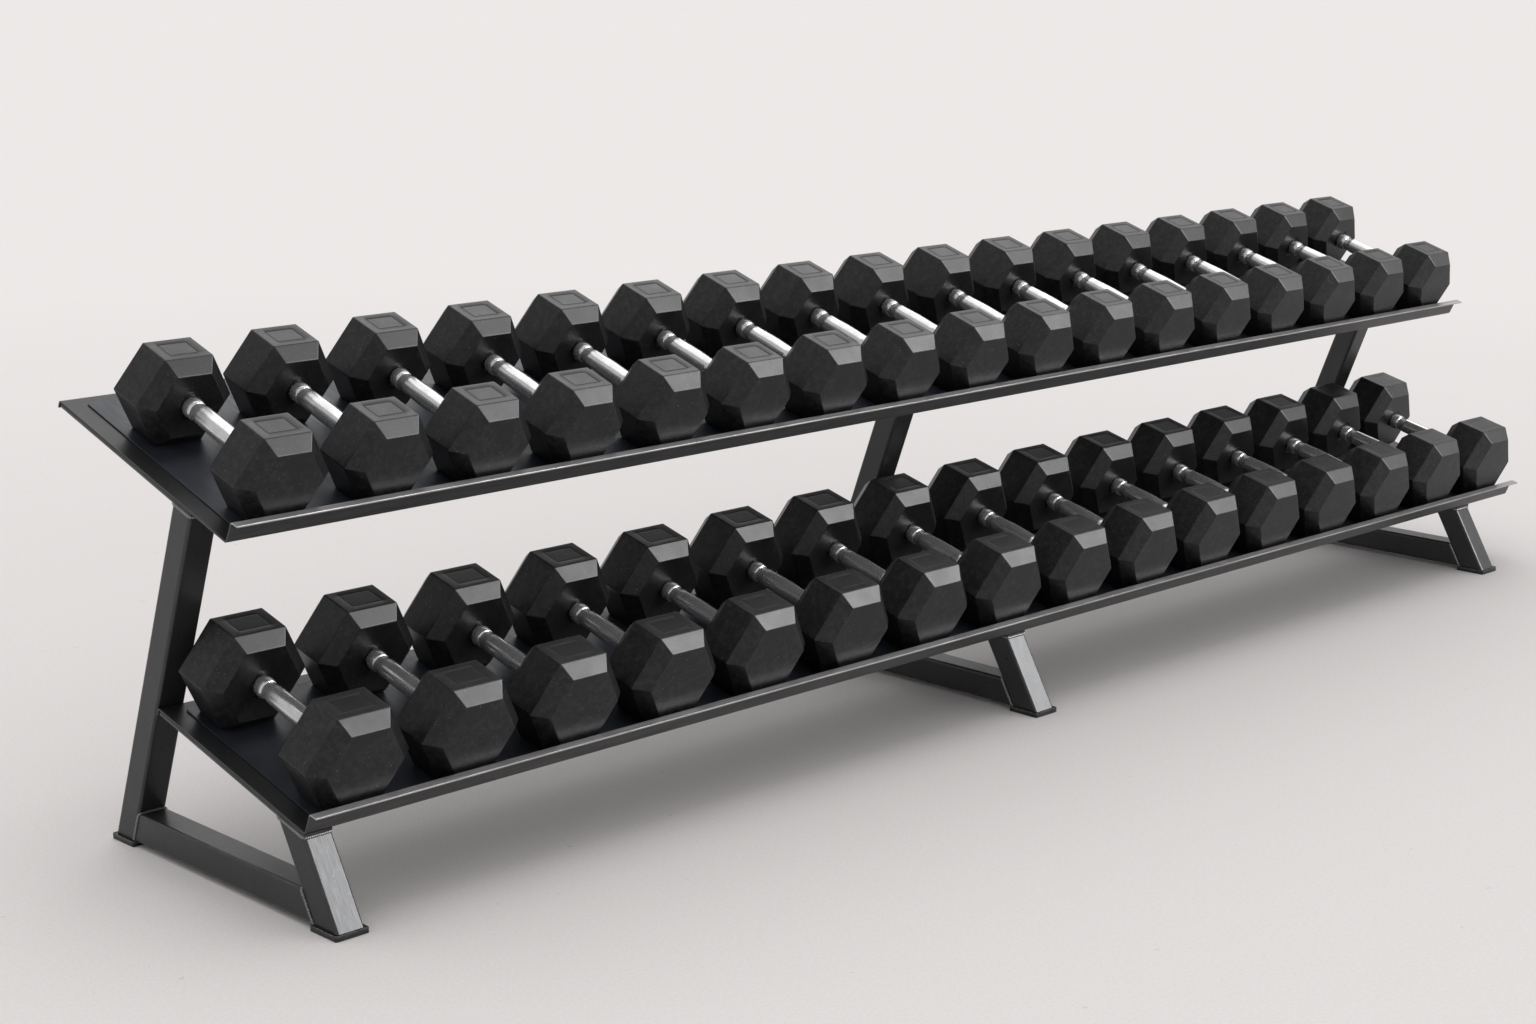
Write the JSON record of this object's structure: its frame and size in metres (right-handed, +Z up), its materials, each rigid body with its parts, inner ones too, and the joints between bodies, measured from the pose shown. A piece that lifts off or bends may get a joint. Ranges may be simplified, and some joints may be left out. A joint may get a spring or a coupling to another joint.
{
  "type": "dumbbell rack",
  "caption": "Low two-tier rack with sloping lipped trays on leaning square-tube frames, loaded with hexagonal rubber dumbbells that lift off.",
  "frame": {"origin": "on the floor, under the middle of the bounding box", "axes": "+X along the trays to the user's right, -Y the user's side that the trays slope down to, +Z up"},
  "size_m": [3.336, 0.719, 0.8053],
  "materials": {
    "frame_paint": "satin gunmetal paint on steel tube",
    "tray_paint": "semi-gloss black paint on steel sheet",
    "liner_rubber": "smooth satin rubber",
    "foot_plastic": "black moulded plastic",
    "rubber_coated_iron": "matt black rubber coat on the heads, chromed steel handle"
  },
  "bodies": {
    "rack": {"top_tray": "tray_paint", "top_tray_liner": "liner_rubber", "top_bearer_left": "frame_paint", "top_bearer_middle": "frame_paint", "top_bearer_right": "frame_paint", "low_tray": "tray_paint", "low_tray_liner": "liner_rubber", "low_bearer_left": "frame_paint", "low_bearer_middle": "frame_paint", "low_bearer_right": "frame_paint", "upright_left": "frame_paint", "front_leg_left": "frame_paint", "base_tube_left": "frame_paint", "rear_foot_left": "foot_plastic", "front_foot_left": "foot_plastic", "upright_middle": "frame_paint", "front_leg_middle": "frame_paint", "base_tube_middle": "frame_paint", "rear_foot_middle": "foot_plastic", "front_foot_middle": "foot_plastic", "upright_right": "frame_paint", "front_leg_right": "frame_paint", "base_tube_right": "frame_paint", "rear_foot_right": "foot_plastic", "front_foot_right": "foot_plastic"},
    "dumbbell_top_01": {"dumbbell_top_01": "rubber_coated_iron"},
    "dumbbell_top_02": {"dumbbell_top_02": "rubber_coated_iron"},
    "dumbbell_top_03": {"dumbbell_top_03": "rubber_coated_iron"},
    "dumbbell_top_04": {"dumbbell_top_04": "rubber_coated_iron"},
    "dumbbell_top_05": {"dumbbell_top_05": "rubber_coated_iron"},
    "dumbbell_top_06": {"dumbbell_top_06": "rubber_coated_iron"},
    "dumbbell_top_07": {"dumbbell_top_07": "rubber_coated_iron"},
    "dumbbell_top_08": {"dumbbell_top_08": "rubber_coated_iron"},
    "dumbbell_top_09": {"dumbbell_top_09": "rubber_coated_iron"},
    "dumbbell_top_10": {"dumbbell_top_10": "rubber_coated_iron"},
    "dumbbell_top_11": {"dumbbell_top_11": "rubber_coated_iron"},
    "dumbbell_top_12": {"dumbbell_top_12": "rubber_coated_iron"},
    "dumbbell_top_13": {"dumbbell_top_13": "rubber_coated_iron"},
    "dumbbell_top_14": {"dumbbell_top_14": "rubber_coated_iron"},
    "dumbbell_top_15": {"dumbbell_top_15": "rubber_coated_iron"},
    "dumbbell_top_16": {"dumbbell_top_16": "rubber_coated_iron"},
    "dumbbell_top_17": {"dumbbell_top_17": "rubber_coated_iron"},
    "dumbbell_low_01": {"dumbbell_low_01": "rubber_coated_iron"},
    "dumbbell_low_02": {"dumbbell_low_02": "rubber_coated_iron"},
    "dumbbell_low_03": {"dumbbell_low_03": "rubber_coated_iron"},
    "dumbbell_low_04": {"dumbbell_low_04": "rubber_coated_iron"},
    "dumbbell_low_05": {"dumbbell_low_05": "rubber_coated_iron"},
    "dumbbell_low_06": {"dumbbell_low_06": "rubber_coated_iron"},
    "dumbbell_low_07": {"dumbbell_low_07": "rubber_coated_iron"},
    "dumbbell_low_08": {"dumbbell_low_08": "rubber_coated_iron"},
    "dumbbell_low_09": {"dumbbell_low_09": "rubber_coated_iron"},
    "dumbbell_low_10": {"dumbbell_low_10": "rubber_coated_iron"},
    "dumbbell_low_11": {"dumbbell_low_11": "rubber_coated_iron"},
    "dumbbell_low_12": {"dumbbell_low_12": "rubber_coated_iron"},
    "dumbbell_low_13": {"dumbbell_low_13": "rubber_coated_iron"},
    "dumbbell_low_14": {"dumbbell_low_14": "rubber_coated_iron"},
    "dumbbell_low_15": {"dumbbell_low_15": "rubber_coated_iron"},
    "dumbbell_low_16": {"dumbbell_low_16": "rubber_coated_iron"}
  },
  "joints": [
    {"name": "dumbbell_top_01_lift_off", "type": "slide", "parent": "rack", "child": "dumbbell_top_01", "axis": [0, -0.3584, 0.9336], "range_m": [0, 0.15]},
    {"name": "dumbbell_top_02_lift_off", "type": "slide", "parent": "rack", "child": "dumbbell_top_02", "axis": [0, -0.3584, 0.9336], "range_m": [0, 0.15]},
    {"name": "dumbbell_top_03_lift_off", "type": "slide", "parent": "rack", "child": "dumbbell_top_03", "axis": [0, -0.3584, 0.9336], "range_m": [0, 0.15]},
    {"name": "dumbbell_top_04_lift_off", "type": "slide", "parent": "rack", "child": "dumbbell_top_04", "axis": [0, -0.3584, 0.9336], "range_m": [0, 0.15]},
    {"name": "dumbbell_top_05_lift_off", "type": "slide", "parent": "rack", "child": "dumbbell_top_05", "axis": [0, -0.3584, 0.9336], "range_m": [0, 0.15]},
    {"name": "dumbbell_top_06_lift_off", "type": "slide", "parent": "rack", "child": "dumbbell_top_06", "axis": [0, -0.3584, 0.9336], "range_m": [0, 0.15]},
    {"name": "dumbbell_top_07_lift_off", "type": "slide", "parent": "rack", "child": "dumbbell_top_07", "axis": [0, -0.3584, 0.9336], "range_m": [0, 0.15]},
    {"name": "dumbbell_top_08_lift_off", "type": "slide", "parent": "rack", "child": "dumbbell_top_08", "axis": [0, -0.3584, 0.9336], "range_m": [0, 0.15]},
    {"name": "dumbbell_top_09_lift_off", "type": "slide", "parent": "rack", "child": "dumbbell_top_09", "axis": [0, -0.3584, 0.9336], "range_m": [0, 0.15]},
    {"name": "dumbbell_top_10_lift_off", "type": "slide", "parent": "rack", "child": "dumbbell_top_10", "axis": [0, -0.3584, 0.9336], "range_m": [0, 0.15]},
    {"name": "dumbbell_top_11_lift_off", "type": "slide", "parent": "rack", "child": "dumbbell_top_11", "axis": [0, -0.3584, 0.9336], "range_m": [0, 0.15]},
    {"name": "dumbbell_top_12_lift_off", "type": "slide", "parent": "rack", "child": "dumbbell_top_12", "axis": [0, -0.3584, 0.9336], "range_m": [0, 0.15]},
    {"name": "dumbbell_top_13_lift_off", "type": "slide", "parent": "rack", "child": "dumbbell_top_13", "axis": [0, -0.3584, 0.9336], "range_m": [0, 0.15]},
    {"name": "dumbbell_top_14_lift_off", "type": "slide", "parent": "rack", "child": "dumbbell_top_14", "axis": [0, -0.3584, 0.9336], "range_m": [0, 0.15]},
    {"name": "dumbbell_top_15_lift_off", "type": "slide", "parent": "rack", "child": "dumbbell_top_15", "axis": [0, -0.3584, 0.9336], "range_m": [0, 0.15]},
    {"name": "dumbbell_top_16_lift_off", "type": "slide", "parent": "rack", "child": "dumbbell_top_16", "axis": [0, -0.3584, 0.9336], "range_m": [0, 0.15]},
    {"name": "dumbbell_top_17_lift_off", "type": "slide", "parent": "rack", "child": "dumbbell_top_17", "axis": [0, -0.3584, 0.9336], "range_m": [0, 0.15]},
    {"name": "dumbbell_low_01_lift_off", "type": "slide", "parent": "rack", "child": "dumbbell_low_01", "axis": [0, -0.3584, 0.9336], "range_m": [0, 0.08]},
    {"name": "dumbbell_low_02_lift_off", "type": "slide", "parent": "rack", "child": "dumbbell_low_02", "axis": [0, -0.3584, 0.9336], "range_m": [0, 0.08]},
    {"name": "dumbbell_low_03_lift_off", "type": "slide", "parent": "rack", "child": "dumbbell_low_03", "axis": [0, -0.3584, 0.9336], "range_m": [0, 0.08]},
    {"name": "dumbbell_low_04_lift_off", "type": "slide", "parent": "rack", "child": "dumbbell_low_04", "axis": [0, -0.3584, 0.9336], "range_m": [0, 0.08]},
    {"name": "dumbbell_low_05_lift_off", "type": "slide", "parent": "rack", "child": "dumbbell_low_05", "axis": [0, -0.3584, 0.9336], "range_m": [0, 0.08]},
    {"name": "dumbbell_low_06_lift_off", "type": "slide", "parent": "rack", "child": "dumbbell_low_06", "axis": [0, -0.3584, 0.9336], "range_m": [0, 0.08]},
    {"name": "dumbbell_low_07_lift_off", "type": "slide", "parent": "rack", "child": "dumbbell_low_07", "axis": [0, -0.3584, 0.9336], "range_m": [0, 0.08]},
    {"name": "dumbbell_low_08_lift_off", "type": "slide", "parent": "rack", "child": "dumbbell_low_08", "axis": [0, -0.3584, 0.9336], "range_m": [0, 0.08]},
    {"name": "dumbbell_low_09_lift_off", "type": "slide", "parent": "rack", "child": "dumbbell_low_09", "axis": [0, -0.3584, 0.9336], "range_m": [0, 0.08]},
    {"name": "dumbbell_low_10_lift_off", "type": "slide", "parent": "rack", "child": "dumbbell_low_10", "axis": [0, -0.3584, 0.9336], "range_m": [0, 0.08]},
    {"name": "dumbbell_low_11_lift_off", "type": "slide", "parent": "rack", "child": "dumbbell_low_11", "axis": [0, -0.3584, 0.9336], "range_m": [0, 0.08]},
    {"name": "dumbbell_low_12_lift_off", "type": "slide", "parent": "rack", "child": "dumbbell_low_12", "axis": [0, -0.3584, 0.9336], "range_m": [0, 0.08]},
    {"name": "dumbbell_low_13_lift_off", "type": "slide", "parent": "rack", "child": "dumbbell_low_13", "axis": [0, -0.3584, 0.9336], "range_m": [0, 0.08]},
    {"name": "dumbbell_low_14_lift_off", "type": "slide", "parent": "rack", "child": "dumbbell_low_14", "axis": [0, -0.3584, 0.9336], "range_m": [0, 0.08]},
    {"name": "dumbbell_low_15_lift_off", "type": "slide", "parent": "rack", "child": "dumbbell_low_15", "axis": [0, -0.3584, 0.9336], "range_m": [0, 0.08]},
    {"name": "dumbbell_low_16_lift_off", "type": "slide", "parent": "rack", "child": "dumbbell_low_16", "axis": [0, -0.3584, 0.9336], "range_m": [0, 0.08]}
  ]
}
